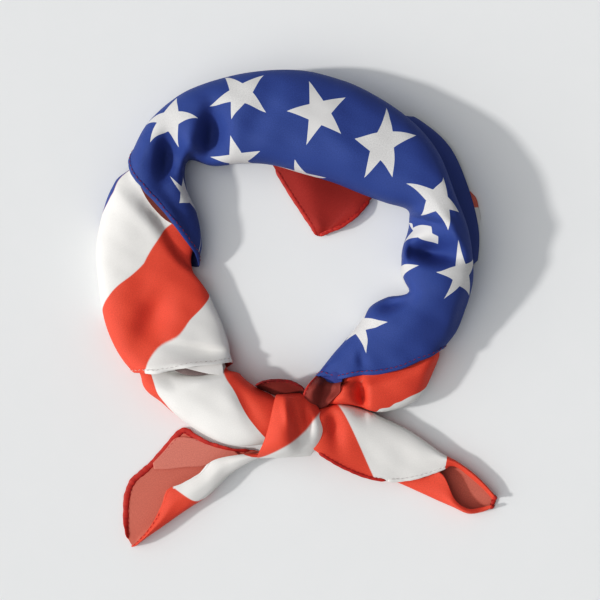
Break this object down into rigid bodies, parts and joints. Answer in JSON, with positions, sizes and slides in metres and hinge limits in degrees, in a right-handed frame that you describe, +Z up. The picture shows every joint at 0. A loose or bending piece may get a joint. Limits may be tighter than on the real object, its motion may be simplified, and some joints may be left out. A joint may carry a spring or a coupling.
{
  "type": "square neck scarf",
  "caption": "Square satin neck scarf in a stars and stripes print, rolled into a band, laid in a ring and tied in a half knot with two short tails.",
  "frame": {"origin": "on the floor plane under the centre of the scarf as it lies, the middle of its bounding box in X and Y", "axes": "+Z up from the floor, -Y towards the knot and the two tails, +X to the right seen from above with the knot at the bottom"},
  "size_m": [0.2121, 0.251, 0.0381],
  "materials": {
    "starry_satin": "navy and royal blue satin weave, soft sheen, printed with white five-pointed stars",
    "striped_satin": "white satin weave, soft sheen, printed with broad red stripes, paler on the back",
    "red_satin": "red printed satin weave, soft sheen",
    "hem_thread": "narrow rolled hem, overstitched in red thread"
  },
  "bodies": {
    "root": {"starry_wrap": "starry_satin", "striped_band": "striped_satin", "inner_lap": "striped_satin", "roll_core": "red_satin", "knot_loop": "red_satin", "knot_tuck": "red_satin", "left_tail": "striped_satin", "right_tail": "striped_satin", "corner_flap": "red_satin", "hem_wrap_left": "hem_thread", "hem_wrap_right": "hem_thread", "hem_band_left": "hem_thread", "hem_left_tail": "hem_thread", "hem_left_flap": "hem_thread", "hem_right_flap": "hem_thread", "hem_right_tip": "hem_thread", "hem_corner_left": "hem_thread", "hem_corner_right": "hem_thread"}
  },
  "joints": []
}
